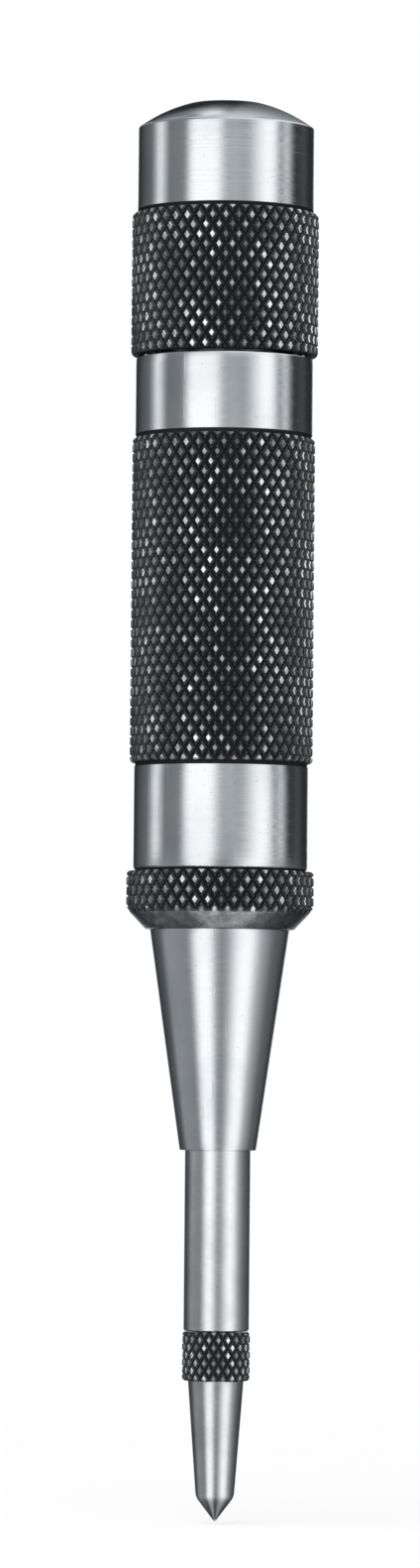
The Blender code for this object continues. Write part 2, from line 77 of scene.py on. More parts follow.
# %% A socket that can be used in arithmetic
class Wire:
    """An output socket of a node tree. Arithmetic on it adds Math nodes."""

    def __init__(self, tree, socket=None):
        self.tree = tree
        self.socket = socket

    def node(self, kind, settings=None, inputs=None, output=0):
        """Adds any node: its settings first, then the values or links of its sockets."""
        made = self.tree.nodes.new(kind)
        for key, value in (settings or {}).items():
            setattr(made, key, value)
        for key, value in (inputs or {}).items():
            if isinstance(value, Wire):
                self.tree.links.new(value.socket, made.inputs[key])
            else:
                made.inputs[key].default_value = value
        return Wire(self.tree, made.outputs[output] if made.outputs else None)

    def math(self, operation, a, b=0.0, clamp=False):
        return self.node("ShaderNodeMath", {"operation": operation, "use_clamp": clamp}, {0: a, 1: b})

    def __add__(self, other):
        return self.math("ADD", self, other)

    def __rsub__(self, other):
        return self.math("SUBTRACT", other, self)

    def __mul__(self, other):
        return self.math("MULTIPLY", self, other)

    def __pow__(self, other):
        return self.math("POWER", self, other)

    __radd__ = __add__
    __rmul__ = __mul__

    def clamped(self):
        return self.math("ADD", self, 0.0, True)

    def above(self, low, high):
        """0 below low, 1 above high and smooth between."""
        return self.node(
            "ShaderNodeMapRange",
            {"interpolation_type": "SMOOTHSTEP"},
            {"Value": self, "From Min": low, "From Max": high},
        )

    def blend(self, off, on):
        """A colour between off and on, by this value."""
        return self.node("ShaderNodeMix", {"data_type": "RGBA"}, {0: self, 6: off, 7: on}, 2)

    def parts(self):
        """The three numbers of a vector."""
        split = self.node("ShaderNodeSeparateXYZ", inputs={0: self}).socket.node
        return [Wire(self.tree, number) for number in split.outputs]


# %% Helpers that every finish uses
EDGE_TINT = (0.62, 0.64, 0.66, 1)  # worn plate and oil mirror less at a glancing angle than clean metal
OIL_GLOSS = 0.3
MARK_HEIGHT = 0.02 * MM


def blank(holder):
    """Empties the node tree of a material or a world, and gives a wire to start its formulas from."""
    holder.use_nodes = True
    holder.node_tree.nodes.clear()
    return Wire(holder.node_tree)


def surface(wire):
    """A point's own place, and how far along the profile it lies: its height plus its radius."""
    place = wire.node("ShaderNodeTexCoord", output="Object")
    x, y, z = place.parts()
    return place, z + (x * x + y * y) ** 0.5


def spots(place, per_m, detail=2.0):
    """Soft blots from 0 to 1, about so many to a metre."""
    return place.node("ShaderNodeTexNoise", inputs={"Vector": place, "Scale": per_m, "Detail": detail})


def lathe_lines(along, per_m, detail, roughness=0.5):
    """Noise that changes only along the profile, so it draws rings round the piece."""
    inputs = {"W": along * per_m, "Detail": detail, "Roughness": roughness}
    return along.node("ShaderNodeTexNoise", {"noise_dimensions": "1D"}, inputs)


def steel(material, wire, colour, metallic, roughness, relief, strength):
    """Closes a finish with a metal shader; relief bumps the surface, by MARK_HEIGHT where it is 1."""
    marks = {"Strength": strength, "Distance": MARK_HEIGHT, "Height": relief}
    bump = wire.node("ShaderNodeBump", inputs=marks)
    shader = wire.node(
        "ShaderNodeBsdfPrincipled",
        inputs={
            "Base Color": colour,
            "Metallic": metallic,
            "Roughness": roughness.clamped(),
            "Normal": bump,
            "Specular Tint": EDGE_TINT,
            "Specular IOR Level": OIL_GLOSS,
        },
    )
    wire.node("ShaderNodeOutputMaterial", inputs={"Surface": shader})
    print("finish:", material.name)
    return material


# %% [markdown]
# ## Nickel plate and knurl
# The plain bands are nickel plate over polished steel: nearly a mirror, with fine rings from the lathe,
# faint smudges and a few hairline scratches. In the knurl the plate is worn bright on the crests and dull on
# the flanks, and flanks and grooves are painted darker the deeper they lie, black at the bottom: painted
# shade in the grooves, with dark oil in pits of the plain metal too. A picture laid over the piece could hold
# these tones, but it would blur close up. So the meshes below keep three numbers on each point: whether it is
# in a knurl, how deep it lies, and how worn its diamond is.

# %% The knurl's tones
# The flank colour and the near-black one are painted shade in the knurl's grooves; the near-black one is also
# dark oil in pits of the plain metal.
FLANK_SHADE = (0.075, 0.077, 0.081, 1)
CREST = (0.76, 0.77, 0.78, 1)
SHADE_AND_OIL = (0.008, 0.008, 0.009, 1)
GRAIN = 2600  # blots to a metre, as the next three are
CREST_WEAR = 1100
WORN_AREAS = 150
SMUDGES = 170


def toothed(place, plain, rough):
    """Lays a knurl over a plain colour and roughness, from the numbers that the mesh keeps on its points.

    A crest is as bright as its wear says, in patches. Flanks and grooves are dull, and painted darker the
    deeper they lie, black at the bottom: painted shade in the grooves. Dark oil sits in tiny pits of the
    plain metal too. The results are the colour, the roughness, how metallic the surface is, and the grain of
    the dull metal.
    """
    knurled, depth, worn = (
        place.node("ShaderNodeAttribute", {"attribute_name": name}, output="Fac")
        for name in ("knurled", "depth", "worn")
    )
    speck = spots(place, GRAIN)
    patches = 0.6 + spots(place, CREST_WEAR, 3.0).above(0.3, 0.7) * 0.8
    patches = patches * (0.6 + spots(place, WORN_AREAS).above(0.38, 0.62))
    # The crest's share falls with depth, so the flanks take the flank colour: painted shade in the groove.
    crest = (1 - depth.above(0.0, 0.3)) * (0.2 + worn.above(0.35, 0.95) * 0.8) * patches
    # The deep half of a groove turns near-black: painted shade at its bottom.
    groove_shade = depth.above(0.45, 1.0) * (0.69 + spots(place, SMUDGES, 4.0) * 0.37)
    shade_and_oil = (groove_shade + speck.above(0.68, 0.74) * 0.12).clamped()
    colour = shade_and_oil.blend(knurled.blend(plain, crest.clamped().blend(FLANK_SHADE, CREST)), SHADE_AND_OIL)
    rough = rough + knurled * (0.10 + speck * 0.12 + depth.above(0.05, 0.4) * 0.25) + shade_and_oil * 0.25
    return colour, rough, 1 - shade_and_oil * 0.75, speck * knurled


# %% Nickel plate
NICKEL = (0.70, 0.71, 0.72, 1)
NICKEL_SHADE = (0.62, 0.635, 0.65, 1)
SCRATCHES = (1500, 1500, 90)  # blots to a metre across and along the tool, which draws them out
FINE_RINGS = 9000
WIDE_RINGS = 700


def plated(name, polish):
    """Nickel plate over turned steel; polish is the roughness of its plain bands."""
    material = bpy.data.materials.new(name)
    wire = blank(material)
    place, along = surface(wire)
    cloud = spots(place, SMUDGES, 4.0).above(0.42, 0.7)
    drawn_out = wire.node("ShaderNodeMapping", inputs={"Vector": place, "Scale": SCRATCHES})
    scratch = spots(drawn_out, 1.0).above(0.66, 0.72)
    plain = cloud.blend(NICKEL, NICKEL_SHADE)
    colour, rough, metallic, grain = toothed(place, plain, polish + cloud * 0.05 + scratch * 0.08)
    turning = lathe_lines(along, FINE_RINGS, 3.0) * 0.5 + lathe_lines(along, WIDE_RINGS, 1.0) * 0.4
    return steel(material, wire, colour, metallic, rough, turning + grain * 1.6 + scratch * 0.4, 0.35)


cap_finish = plated("nickel_cap", 0.06)
barrel_finish = plated("nickel_barrel", 0.055)
nose_finish = plated("nickel_nose", 0.06)

# %% [markdown]
# ## Bare steel
# The shank is ground, not plated, so its rings are finer and it is a little whiter. The point is hardened
# tool steel, slightly darker and warmer. Inside the barrel nothing is polished: the hammer, latch, stem and
# pin are ground, the washer and the spring seat are only turned, and the springs are dark drawn wire with a
# film of oil. The plate's function could be bent to this, but ground steel shows its lines in the gloss too,
# so it has one of its own.

# %% Ground, turned and drawn steel
GROUND = (0.72, 0.725, 0.73, 1)
GROUND_SHADE = (0.63, 0.635, 0.645, 1)
HARD = (0.65, 0.65, 0.655, 1)
HARD_SHADE = (0.52, 0.515, 0.51, 1)
TURNED = (0.52, 0.53, 0.54, 1)
TURNED_SHADE = (0.36, 0.36, 0.37, 1)
DRAWN = (0.30, 0.31, 0.33, 1)
DRAWN_SHADE = (0.16, 0.16, 0.17, 1)
CLOUDS = 260


def ground(name, light, shade, polish, lines_per_m, with_knurl=False):
    """Bare steel: lines round the axis and soft clouds of tone, with oil in any knurl."""
    material = bpy.data.materials.new(name)
    wire = blank(material)
    place, along = surface(wire)
    lines = lathe_lines(along, lines_per_m, 4.0, 0.7)
    cloud = spots(place, CLOUDS, 4.0).above(0.38, 0.72)
    colour = cloud.blend(light, shade)
    rough = polish + cloud * 0.08 + lines.above(0.55, 0.75) * 0.06
    metallic = 1.0
    if with_knurl:
        colour, rough, metallic, _ = toothed(place, colour, rough)
    return steel(material, wire, colour, metallic, rough, lines, 0.3)


shank_finish = ground("ground_shank", GROUND, GROUND_SHADE, 0.08, 12000)
point_finish = ground("hard_point_steel", HARD, HARD_SHADE, 0.10, 7000, True)
hard_inside = ground("ground_inside", HARD, HARD_SHADE, 0.22, 5000)
turned_inside = ground("turned_inside", TURNED, TURNED_SHADE, 0.30, 2600)
wire_finish = ground("drawn_wire", DRAWN, DRAWN_SHADE, 0.28, 9000)


# %% [markdown]
# ## Profiles
# A lathe tool goes from one corner of the drawing to the next, and every real corner is broken by a small
# radius, which is what catches the light. A Bevel modifier could do that, but it would round the knurl too.
# So a profile is a list of corners, as (distance from the axis, height), and one function breaks them.

# %% Profiles with broken corners
SHORT_STEP = 0.8 * MM
LONG_STEP = 1.6 * MM
SIDE_SHARE = 0.45  # the most of a side that one rounded corner takes


def broken(corners, edge, rows=3, step=SHORT_STEP):
    """A line through the corners with each inner corner rounded off.

    A corner p becomes the curve (1-t)^2 a + 2t(1-t) p + t^2 b between points a and b that lie one edge away
    on its two sides. The straights between are split into rows no longer than step.
    """
    p = np.array(corners, float)
    sides = np.diff(p, axis=0)
    lengths = np.linalg.norm(sides, axis=1)
    reach = np.minimum(edge, SIDE_SHARE * np.minimum(lengths[:-1], lengths[1:]))[:, None]
    a = p[1:-1] - reach * (sides / lengths[:, None])[:-1]
    b = p[1:-1] + reach * (sides / lengths[:, None])[1:]
    t = np.linspace(0, 1, rows)[None, :, None]
    bends = (1 - t) ** 2 * a[:, None] + 2 * t * (1 - t) * p[1:-1, None] + t**2 * b[:, None]
    line = np.vstack([p[:1], bends.reshape(-1, 2), p[-1:]])
    gaps = np.linalg.norm(np.diff(line, axis=0), axis=1)
    counts = np.maximum(1, np.ceil(gaps / step)).astype(int)
    at = np.concatenate([i + np.arange(n) / n for i, n in enumerate(counts)] + [[len(line) - 1]])
    whole = np.arange(len(line))
    return np.column_stack([np.interp(at, whole, line[:, 0]), np.interp(at, whole, line[:, 1])])


def dome(rim, flat, base, height, rows):
    """Points on a ball from the edge of the flat on top down to the rim, at angles t from the axis.

    A point is at (ball sin t, centre + ball cos t). The centre lies below the base by
    (rim^2 - flat^2 - height^2) / (2 height), so that the ball passes through the flat's edge and the rim.
    """
    drop = (rim**2 - flat**2 - height**2) / (2 * height)
    ball = math.hypot(rim, drop)
    t = np.linspace(math.atan2(flat, drop + height), math.atan2(rim, drop), rows)
    return np.column_stack([ball * np.sin(t), base - drop + ball * np.cos(t)])


# %% [markdown]
# ## A skin for turned pieces
# A lathe makes a surface from two numbers: how far along the profile, and how far round. On an ordinary grid
# a diamond knurl would look like stairs, because its grooves run at a slant. So every second ring of points
# is turned by half a step. The edges then run along both slants, and a groove falls exactly on them.

# %% From a profile to a closed mesh
CREASE = math.radians(24)


def place_mesh(name, mesh):
    """Links a mesh at the origin, smooth except along its creases."""
    mesh.validate()
    mesh.shade_smooth()
    mesh.set_sharp_from_angle(angle=CREASE)
    piece = bpy.data.objects.new(name, mesh)
    bpy.context.scene.collection.objects.link(piece)
    print(f"{name}: {len(mesh.polygons)} faces")
    return piece


def rings(profile, columns):
    """Angle, radius and height of each point of a turned grid; every second ring is turned half a step."""
    rows = np.arange(len(profile))[:, None]
    angle = (np.arange(columns)[None, :] + (rows % 2) / 2) * (2 * math.pi / columns)
    radius = np.repeat(profile[:, :1], columns, axis=1)
    height = np.repeat(profile[:, 1:], columns, axis=1)
    return angle, radius, height


def skin(name, angle, radius, height, looped, tip=None, **fields):
    """A closed mesh through x = r cos a, y = r sin a, z = h.

    The profile runs down the outside. A looped one comes back up a bore to its first ring, and any other is
    closed by a fan at each end, the last one to the height tip. The fields are kept on the points.
    """
    rows, columns = radius.shape
    points = np.stack([radius * np.cos(angle), radius * np.sin(angle), height], axis=-1)
    index = np.arange(rows * columns).reshape(rows, columns)
    top = index if looped else index[:-1]
    low = np.roll(index, -1, axis=0) if looped else index[1:]
    top_next, low_next = np.roll(top, -1, axis=1), np.roll(low, -1, axis=1)
    odd = (np.arange(len(top)) % 2 == 1)[:, None]
    faces = [
        np.stack([top, low, np.where(odd, low_next, top_next)], -1).reshape(-1, 3),
        np.stack([np.where(odd, top, low), low_next, top_next], -1).reshape(-1, 3),
    ]
    verts = points.reshape(-1, 3)
    if not looped:
        last = height[-1, 0] if tip is None else tip
        verts = np.vstack([verts, (0, 0, height[0, 0]), (0, 0, last)])
        hub = np.full(columns, rows * columns)
        faces.append(np.stack([hub, index[0], np.roll(index[0], -1)], -1))
        faces.append(np.stack([hub + 1, np.roll(index[-1], -1), index[-1]], -1))
    mesh = bpy.data.meshes.new(name)
    mesh.from_pydata(verts.tolist(), [], np.vstack(faces).tolist())
    for field, values in fields.items():
        kept = np.zeros(len(verts), np.float32)
        kept[: rows * columns] = values.ravel()
        mesh.attributes.new(field, "FLOAT", "POINT").data.foreach_set("value", kept)
    return place_mesh(name, mesh)


def dress(piece, finish, body, slot, *nodes):
    """Gives a piece its finish and the body it moves with, and hides the solids that it stands for. The slot
    is not used.
    """
    piece.data.materials.append(finish)
    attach(piece, body)
    if nodes:
        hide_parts(*nodes)


# %% [markdown]
# ## The pieces inside
# The hammer with its latch, stem and pin, the washer and the spring seat are plain turned parts, and their
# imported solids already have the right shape. A solid comes as loose flat triangles, though. They could be
# drawn anew, but a copy with its points merged keeps every hole, and it can be shaded smooth, so the rounds
# look round.

# %% Make the pieces inside
MERGE_DIGITS = 7  # of a metre, so points closer than a ten-thousandth of a millimetre are one
INSIDE = (
    # node, name of its piece, finish, body and slot
    ("hammer", "striking_hammer", hard_inside, "hammer", "hardened_steel"),
    ("release_latch", "latch_plug", hard_inside, "latch", "hardened_steel"),
    ("trip_stem", "trip_pin", hard_inside, "plunger", "hardened_steel"),
    ("keeper_pin", "keeper_dowel", hard_inside, "hammer", "hardened_steel"),
    ("stop_washer", "washer_ring", turned_inside, "barrel", "plain_steel"),
    ("spring_seat", "spring_follower", turned_inside, "seat", "plain_steel"),
)


def merged(name, solid):
    """A copy of loose triangles in which the corners that meet at one place are one point."""
    places = np.zeros(3 * len(solid.vertices))
    solid.vertices.foreach_get("co", places)
    corners = np.zeros(len(solid.loops), int)
    solid.loops.foreach_get("vertex_index", corners)
    places = np.round(places.reshape(-1, 3), MERGE_DIGITS)
    points, shared = np.unique(places, axis=0, return_inverse=True)
    mesh = bpy.data.meshes.new(name)
    mesh.from_pydata(points.tolist(), [], shared.ravel()[corners].reshape(-1, 3).tolist())
    return place_mesh(name, mesh)


for node, name, finish, body, slot in INSIDE:
    dress(merged(name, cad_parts[node].data), finish, body, slot, node)


# %% [markdown]
# ## Diamond knurling
# A knurling wheel rolls two sets of V grooves into the bar, one leaning left and one leaning right. What is
# left standing between them is a field of small diamonds with flat tops. Near the ends of a band the crests
# are cut off by a chamfer, and a narrow relief groove separates the band from the plain metal. A bump map
# could fake this from the front, but the outline and the STL file would be smooth, so the grooves are real.

# %% The knurl
STEPS = 6  # mesh steps across one diamond
GROOVE_SHARE = 2 / 3  # of the distance between grooves; the rest is the flat crest
NUDGE = 1e-6  # puts a point that lies on a groove into one diamond for certain
SCATTER = (12.9898, 78.233, 43758.5453)  # factors so odd that no order shows in the result


def knurl(angle, count, depth, chamfer, row_height):
    """Cut below the crests, depth in the groove from 0 to 1, and each diamond's wear, on a turned grid.

    With u = count * angle / 2 pi and v = rows down / (2 * STEPS), grooves lie where u + v or u - v is whole.
    Each is a V: depth * (1 - distance / half width), and the deeper of the two grooves counts. The chamfer
    takes off a 45 degree slope at both ends. Wear is a fixed scatter of the diamond's own two numbers: what
    follows the point in sin(first * a + second * b) * c.
    """
    down = np.arange(len(angle))[:, None]
    u = count * (angle - angle[0, 0]) / (2 * math.pi)
    v = down / (2 * STEPS)
    first, second = u + v, u - v
    across = np.minimum(abs(first - np.round(first)), abs(second - np.round(second)))
    share = np.clip(1 - across / (GROOVE_SHARE / 2), 0, 1)
    from_end = np.minimum(down, len(angle) - 1 - down) * row_height
    cut = np.maximum(share * depth, chamfer - from_end)
    mark = np.floor(first + NUDGE) * SCATTER[0] + np.floor(second + NUDGE) * SCATTER[1]
    scatter = np.sin(mark) * SCATTER[2]
    return np.maximum(cut, 0), share, scatter - np.floor(scatter)


# %% A turned piece with one knurled band
# How deep and how worn the rows after a band count: they make them rougher and paint them darker, as shade.
DULL_SHADE_DEPTH = 0.12
DULL_SHADE_WEAR = 0.62


def knurled_piece(name, above, crest, top, low, below, pattern, looped=True, painted_shade=(), dull_and_shaded=0, tip=None):
    """The profile above the band, the band from top to low at the radius crest, and the profile below it.

    pattern is (diamonds round, length of one, depth, chamfer). The rows between each pair of heights in the
    shade pairs are painted black, as painted shade in a groove or under a rim, and the given number of rows
    after the band are dull, worn like the crests and painted darker, as shade.
    """
    count, lead, depth, chamfer = pattern
    rows = int(round((top - low) / lead * 2 * STEPS)) + 1
    band = np.column_stack([np.full(rows, crest), np.linspace(top, low, rows)])
    profile = np.vstack([above, band, below])
    if looped and len(profile) % 2:
        profile = np.vstack([profile, (profile[-1] + profile[0]) / 2])
    angle, radius, height = rings(profile, count * STEPS)
    start, end = len(above), len(above) + rows
    knurled, deep, worn = np.zeros((3,) + radius.shape)
    row_height = band[0, 1] - band[1, 1]
    cut, deep[start:end], worn[start:end] = knurl(angle[start:end], count, depth, chamfer, row_height)
    radius[start:end] -= cut
    knurled[start : end + dull_and_shaded] = 1
    deep[end : end + dull_and_shaded] = DULL_SHADE_DEPTH
    worn[end : end + dull_and_shaded] = DULL_SHADE_WEAR
    # The rows between each pair of heights are painted black: painted shade in a groove or under a rim.
    for foot, head in painted_shade:
        shaded_rows = (height > foot) & (height < head)
        knurled[shaded_rows] = deep[shaded_rows] = 1
    return skin(name, angle, radius, height, looped, tip, knurled=knurled, depth=deep, worn=worn)


# %% [markdown]
# ## Sizes
# Where a piece begins and ends, and how wide it is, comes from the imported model. These could be typed in
# again, but then a changed model would no longer fit. Lengths that only matter on the surface are named here
# in real sizes.

# %% Sizes read from the frame
def ends(node):
    """Lowest and highest height of a node, and its largest radius."""
    low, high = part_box(node)
    return low[2], high[2], (high[0] - low[0]) / 2


KNURL_DEPTH = 0.4 * MM
KNURL_CHAMFER = 0.2 * MM
GRIP_KNURL = (44, 1.8 * MM, KNURL_DEPTH, KNURL_CHAMFER)
RELIEF_WIDTH = 0.36 * MM
RELIEF_DEPTH = 0.1 * MM
EDGE = 0.25 * MM
FINE_EDGE = 0.1 * MM
CLEARANCE = 0.15 * MM  # between a bore and what slides in it
SEAT_GAP = 0.3 * MM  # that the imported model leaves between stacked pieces
SNUG = 0.05 * MM
HAIR = 0.02 * MM

barrel_low, barrel_high, grip_crest = ends("barrel")
cap_low, cap_high, cap_crest = ends("adjusting_cap")
nose_low, nose_high, ring_crest = ends("nose_piece")
plunger_low, plunger_high, flange_radius = ends("plunger")
point_low, point_high, collar_crest = ends("punch_point")
washer_low, _, washer_radius = ends("stop_washer")
_, _, seat_radius = ends("spring_seat")
_, _, hammer_radius = ends("hammer")
latch_low, latch_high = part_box("release_latch")
latch_level = (latch_low[2] + latch_high[2]) / 2
lower_bore = washer_radius + CLEARANCE
main_bore = hammer_radius + CLEARANCE
neck_top = cap_low - SEAT_GAP
print(f"grip {grip_crest / MM:.2f} mm, cap {cap_crest / MM:.2f} mm, ring {ring_crest / MM:.2f} mm")

# %% Sizes of the cap's screw thread
THREAD_PITCH = 1.5 * MM
THREAD_DEPTH = 0.7 * MM
THREAD_ROOT = 0.8 * MM
THREAD_CREST = 0.3 * MM
THREAD_FOOT = 1.0 * MM  # from the neck's shoulder to the middle of the first turn
thread_core = seat_radius
thread_bore = thread_core + THREAD_DEPTH + CLEARANCE
thread_start = neck_top + THREAD_FOOT
thread_turns = int((barrel_high - thread_start - THREAD_ROOT / 2) / THREAD_PITCH)
thread_top = thread_start + (thread_turns + 1) * THREAD_PITCH
print(f"thread: {thread_turns} turns from {thread_start / MM:.1f} mm up")

# %% [markdown]
# ## The adjusting cap
# The cap is what the palm pushes. Its crown is a shallow dome with a small flat on top, its skirt is knurled
# for the fingers, and its bore holds the thread that loads the hammer spring. Crown and skirt could be two
# meshes, but on the real cap there is no joint, so one profile runs from the middle of the crown down the
# outside and back up the bore.

# %% Make the cap
CAP_RADIUS = 8.1 * MM
CROWN_HEIGHT = 2.2 * MM
CROWN_FLAT = 3.6 * MM
CROWN_ROWS = 30
RIM_ROWS = 4  # rows of the crown that its rounded rim replaces
CAP_PLAIN = 7.6 * MM
CAP_EDGE = 0.08 * MM
CAP_HEAD = 6.0 * MM  # metal above the bore
AXIS = 0.2 * MM  # the last ring before the axis, which the fan closes
crown_base = cap_high - CROWN_HEIGHT
cap_plain_low = crown_base - CAP_PLAIN
cap_bore = seat_radius + CLEARANCE
cap_floor = CAP_RADIUS - RELIEF_DEPTH
cap_rim = cap_crest - KNURL_DEPTH - SNUG
bore_end = cap_high - CAP_HEAD
crown = dome(CAP_RADIUS, CROWN_FLAT, crown_base, CROWN_HEIGHT, CROWN_ROWS)
flat_top = broken([(AXIS, cap_high), crown[0]], 0)[:-1]
rim = broken([crown[-RIM_ROWS], crown[-1], (CAP_RADIUS, crown_base - EDGE)], EDGE, rows=5)
plain = [
    (CAP_RADIUS, crown_base - 2 * EDGE),
    (CAP_RADIUS, cap_plain_low),
    (cap_floor, cap_plain_low),
    (cap_floor, cap_plain_low - RELIEF_WIDTH + HAIR),
]
mouth = [(cap_rim, cap_low), (thread_bore + EDGE, cap_low), (thread_bore, cap_low + EDGE)]
bore = [(thread_bore, thread_top), (cap_bore, thread_top), (cap_bore, bore_end), (AXIS, bore_end)]
cap = knurled_piece(
    "cap_shell",
    np.vstack([flat_top, crown[:-RIM_ROWS], rim, broken(plain, CAP_EDGE)]),
    cap_crest,
    cap_plain_low - RELIEF_WIDTH,
    cap_low,
    broken(mouth + bore, FINE_EDGE),
    GRIP_KNURL,
    looped=False,
    # Painted shade: the relief groove under the plain band and the cap's underside are painted black.
    painted_shade=((cap_plain_low - RELIEF_WIDTH + HAIR / 2, cap_plain_low + HAIR), (0, cap_low + HAIR)),
)
dress(cap, cap_finish, "cap", "knurled_steel", "adjusting_cap")

# %% [markdown]
# ## The barrel
# The handle is one hollow bar: a threaded top, a plain neck, the long knurled grip and a plain lower band.
# Its bore narrows in a taper that pushes the latch aside as the hammer rises. The bore could be left out,
# since it doesn't show from outside, but the hammer and its spring would then cut into solid metal. So the
# profile is a loop: down the outside, round the lower rim and back up the bore.

# %% Make the barrel
NECK_RADIUS = 8.15 * MM
NECK_LENGTH = 7.0 * MM
BARREL_RADIUS = 8.0 * MM
BARREL_EDGE = 0.12 * MM
LOWER_BAND = 9.3 * MM
LAST_RING = 0.5 * MM  # how far under its first ring the loop ends
LATCH_TRAVEL = 1.5 * MM
PLUNGER_TRAVEL = 8.0 * MM
neck_low = neck_top - NECK_LENGTH
band_top = barrel_low + LOWER_BAND
band_foot = barrel_low - SEAT_GAP + SNUG  # screwed down onto the nose's ring
neck_floor = NECK_RADIUS - RELIEF_DEPTH
band_floor = BARREL_RADIUS - RELIEF_DEPTH
taper_low = latch_level + (latch_high[2] - latch_level) * LATCH_TRAVEL / PLUNGER_TRAVEL
threaded_top = [
    (main_bore, barrel_high),
    (thread_core - EDGE, barrel_high),
    (thread_core, barrel_high - EDGE),
]
neck = [
    (thread_core, neck_top),
    (NECK_RADIUS, neck_top),
    (NECK_RADIUS, neck_low),
    (neck_floor, neck_low),
    (neck_floor, neck_low - RELIEF_WIDTH + HAIR),
]
lower_band = [
    (band_floor, band_top + RELIEF_WIDTH - HAIR),
    (band_floor, band_top),
    (BARREL_RADIUS, band_top),
    (BARREL_RADIUS, band_foot + EDGE),
    (BARREL_RADIUS - EDGE, band_foot),
    (lower_bore, band_foot),
]
bore = [
    (lower_bore, taper_low),
    (main_bore, taper_low + PLUNGER_TRAVEL),
    (main_bore, barrel_high - LAST_RING),
]
upper_groove = (neck_low - RELIEF_WIDTH + HAIR / 2, neck_low + HAIR)
lower_groove = (band_top - HAIR, band_top + RELIEF_WIDTH - HAIR / 2)
barrel = knurled_piece(
    "barrel_shell",
    broken(threaded_top + neck, BARREL_EDGE),
    grip_crest,
    neck_low - RELIEF_WIDTH,
    band_top + RELIEF_WIDTH,
    broken(lower_band + bore, BARREL_EDGE, step=LONG_STEP),
    GRIP_KNURL,
    # Painted shade: the two relief grooves and the lower band's foot are painted black.
    painted_shade=(upper_groove, lower_groove, (band_foot - HAIR, band_foot + EDGE - HAIR)),
)
dress(barrel, barrel_finish, "barrel", "knurled_steel", "barrel")

# %% [markdown]
# ## The nose piece
# A narrow knurled ring lets the nose be unscrewed. Under it a dull chamfer, painted darker as shade on its
# downward slope, leads into the long polished cone, and the cone's mouth guides the plunger. The chamfer
# could have a finish of its own, but its metal is as dull as the knurl's and painted dark like its flanks,
# so its points carry the same kind of numbers.

# %% Make the nose
RING_LENGTH = 3.5 * MM
RING_LIP = 0.35 * MM  # metal under the knurl, where the chamfer starts
SPIGOT_BREAK = 0.3 * MM
CONE_TOP_RADIUS = 6.4 * MM
CONE_STEP = 0.4 * MM
NOSE_END_RADIUS = 3.5 * MM
SHANK_RADIUS = 3.0 * MM
FLANGE_THICKNESS = 2.0 * MM
RETURN_SPACE = 18.6 * MM  # from the washer down to the plunger's flange
ring_top = barrel_low - SEAT_GAP
ring_low = ring_top - RING_LENGTH
ring_rim = ring_crest - KNURL_DEPTH
cone_top = ring_low - (ring_crest - CONE_TOP_RADIUS - CONE_STEP)
flange_bore = flange_radius + CLEARANCE
flange_top = washer_low - RETURN_SPACE
flange_seat = flange_top - FLANGE_THICKNESS - SEAT_GAP
guide_bore = SHANK_RADIUS + CLEARANCE
spigot = [
    (flange_bore + SPIGOT_BREAK, nose_high),
    (washer_radius - EDGE, nose_high),
    (washer_radius, nose_high - EDGE),
    (washer_radius, ring_top),
    (ring_rim - SNUG, ring_top),
]
cone = [
    (ring_rim - HAIR, ring_low - RING_LIP),
    (CONE_TOP_RADIUS + CONE_STEP, cone_top),
    (CONE_TOP_RADIUS, cone_top),
    (NOSE_END_RADIUS, nose_low),
    (guide_bore, nose_low),
]
bore = [(guide_bore, flange_seat), (flange_bore, flange_seat), (flange_bore, nose_high - SPIGOT_BREAK)]
below_ring = broken(cone + bore, FINE_EDGE)
nose = knurled_piece(
    "nose_shell",
    broken(spigot, FINE_EDGE, step=LONG_STEP),
    ring_crest,
    ring_top,
    ring_low,
    below_ring,
    GRIP_KNURL,
    # The chamfer's rows: dull, and painted darker as shade on its downward slope.
    dull_and_shaded=int(np.sum(below_ring[:, 0] > CONE_TOP_RADIUS + HAIR / 2)),
)
dress(nose, nose_finish, "barrel", "polished_steel", "nose_piece")

# %% [markdown]
# ## The plunger and its point
# The plunger is a ground shank with a flange inside the nose and an anvil that the hammer strikes. The point
# screws into it: a long taper that ends in a 75 degree tip, and a finely knurled collar to turn it by. They
# could be one mesh, since they move together, but a worn point is unscrewed and replaced.

# %% Make the plunger
ANVIL_RADIUS = 2.4 * MM
STUD_RADIUS = 1.6 * MM
STUD_LENGTH = 6.0 * MM
STEM_DEPTH = 6.0 * MM
SMOOTH_COLUMNS = 160
stem_socket = ends("trip_stem")[2] + CLEARANCE
stud_socket = STUD_RADIUS + CLEARANCE
anvil = [
    (AXIS, plunger_high - STEM_DEPTH),
    (stem_socket, plunger_high - STEM_DEPTH),
    (stem_socket, plunger_high),
    (ANVIL_RADIUS, plunger_high),
    (ANVIL_RADIUS, flange_top),
]
flange = [(flange_radius, flange_top), (flange_radius, flange_top - FLANGE_THICKNESS)]
shank = [
    (SHANK_RADIUS, flange_top - FLANGE_THICKNESS),
    (SHANK_RADIUS, plunger_low),
    (stud_socket, plunger_low),
    (stud_socket, plunger_low + STUD_LENGTH),
    (AXIS, plunger_low + STUD_LENGTH),
]
plunger_profile = broken(anvil + flange + shank, EDGE, rows=4)
plunger = skin("plunger_shank", *rings(plunger_profile, SMOOTH_COLUMNS), looped=False)
dress(plunger, shank_finish, "plunger", "polished_steel", "plunger")

